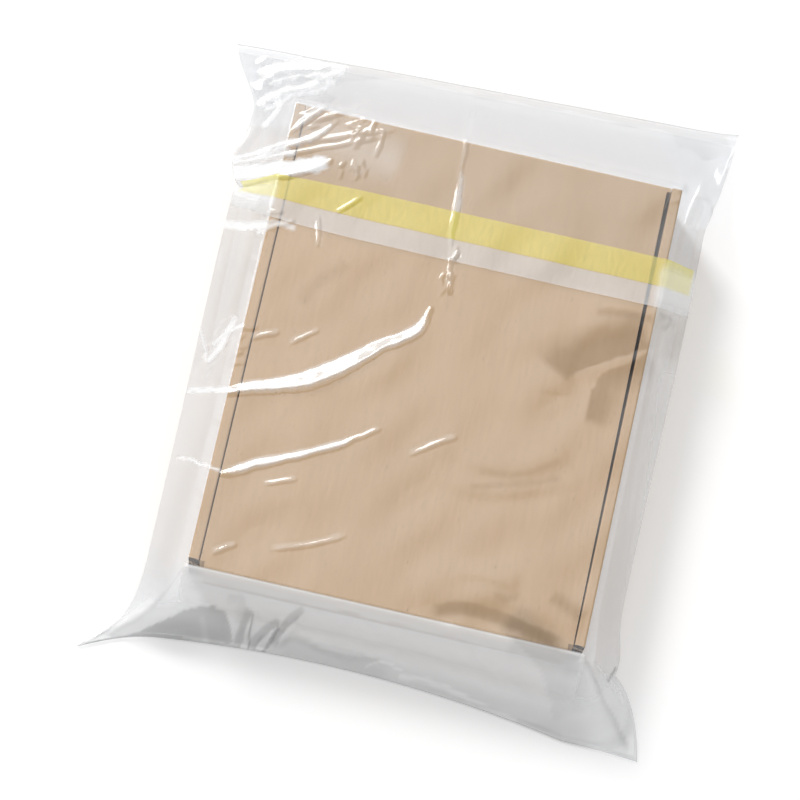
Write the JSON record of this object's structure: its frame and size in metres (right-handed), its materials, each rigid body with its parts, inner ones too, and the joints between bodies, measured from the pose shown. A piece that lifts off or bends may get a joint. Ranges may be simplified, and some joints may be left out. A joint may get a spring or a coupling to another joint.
{
  "type": "poly mailer bag",
  "caption": "Clear film mailer bag, closed by an adhesive strip under its folded flap, lying on its back around a flat corrugated carton.",
  "frame": {"origin": "on the back film's flat outer face, under the middle of the carton's base", "axes": "+X across the bag to the right, +Y along the bag towards the folded top, +Z out of the bag's front"},
  "size_m": [0.3618, 0.4275, 0.0554],
  "materials": {
    "clear_film": "clear, slightly hazy, glossy",
    "adhesive": "satin, pressed flat",
    "liner": "milky, matt",
    "kraft_board": "plain brown kraft, matt"
  },
  "bodies": {
    "root": {"film_bag": "clear_film", "adhesive_strip": "adhesive", "liner_strip": "liner", "mailer_carton": "kraft_board"}
  },
  "joints": []
}
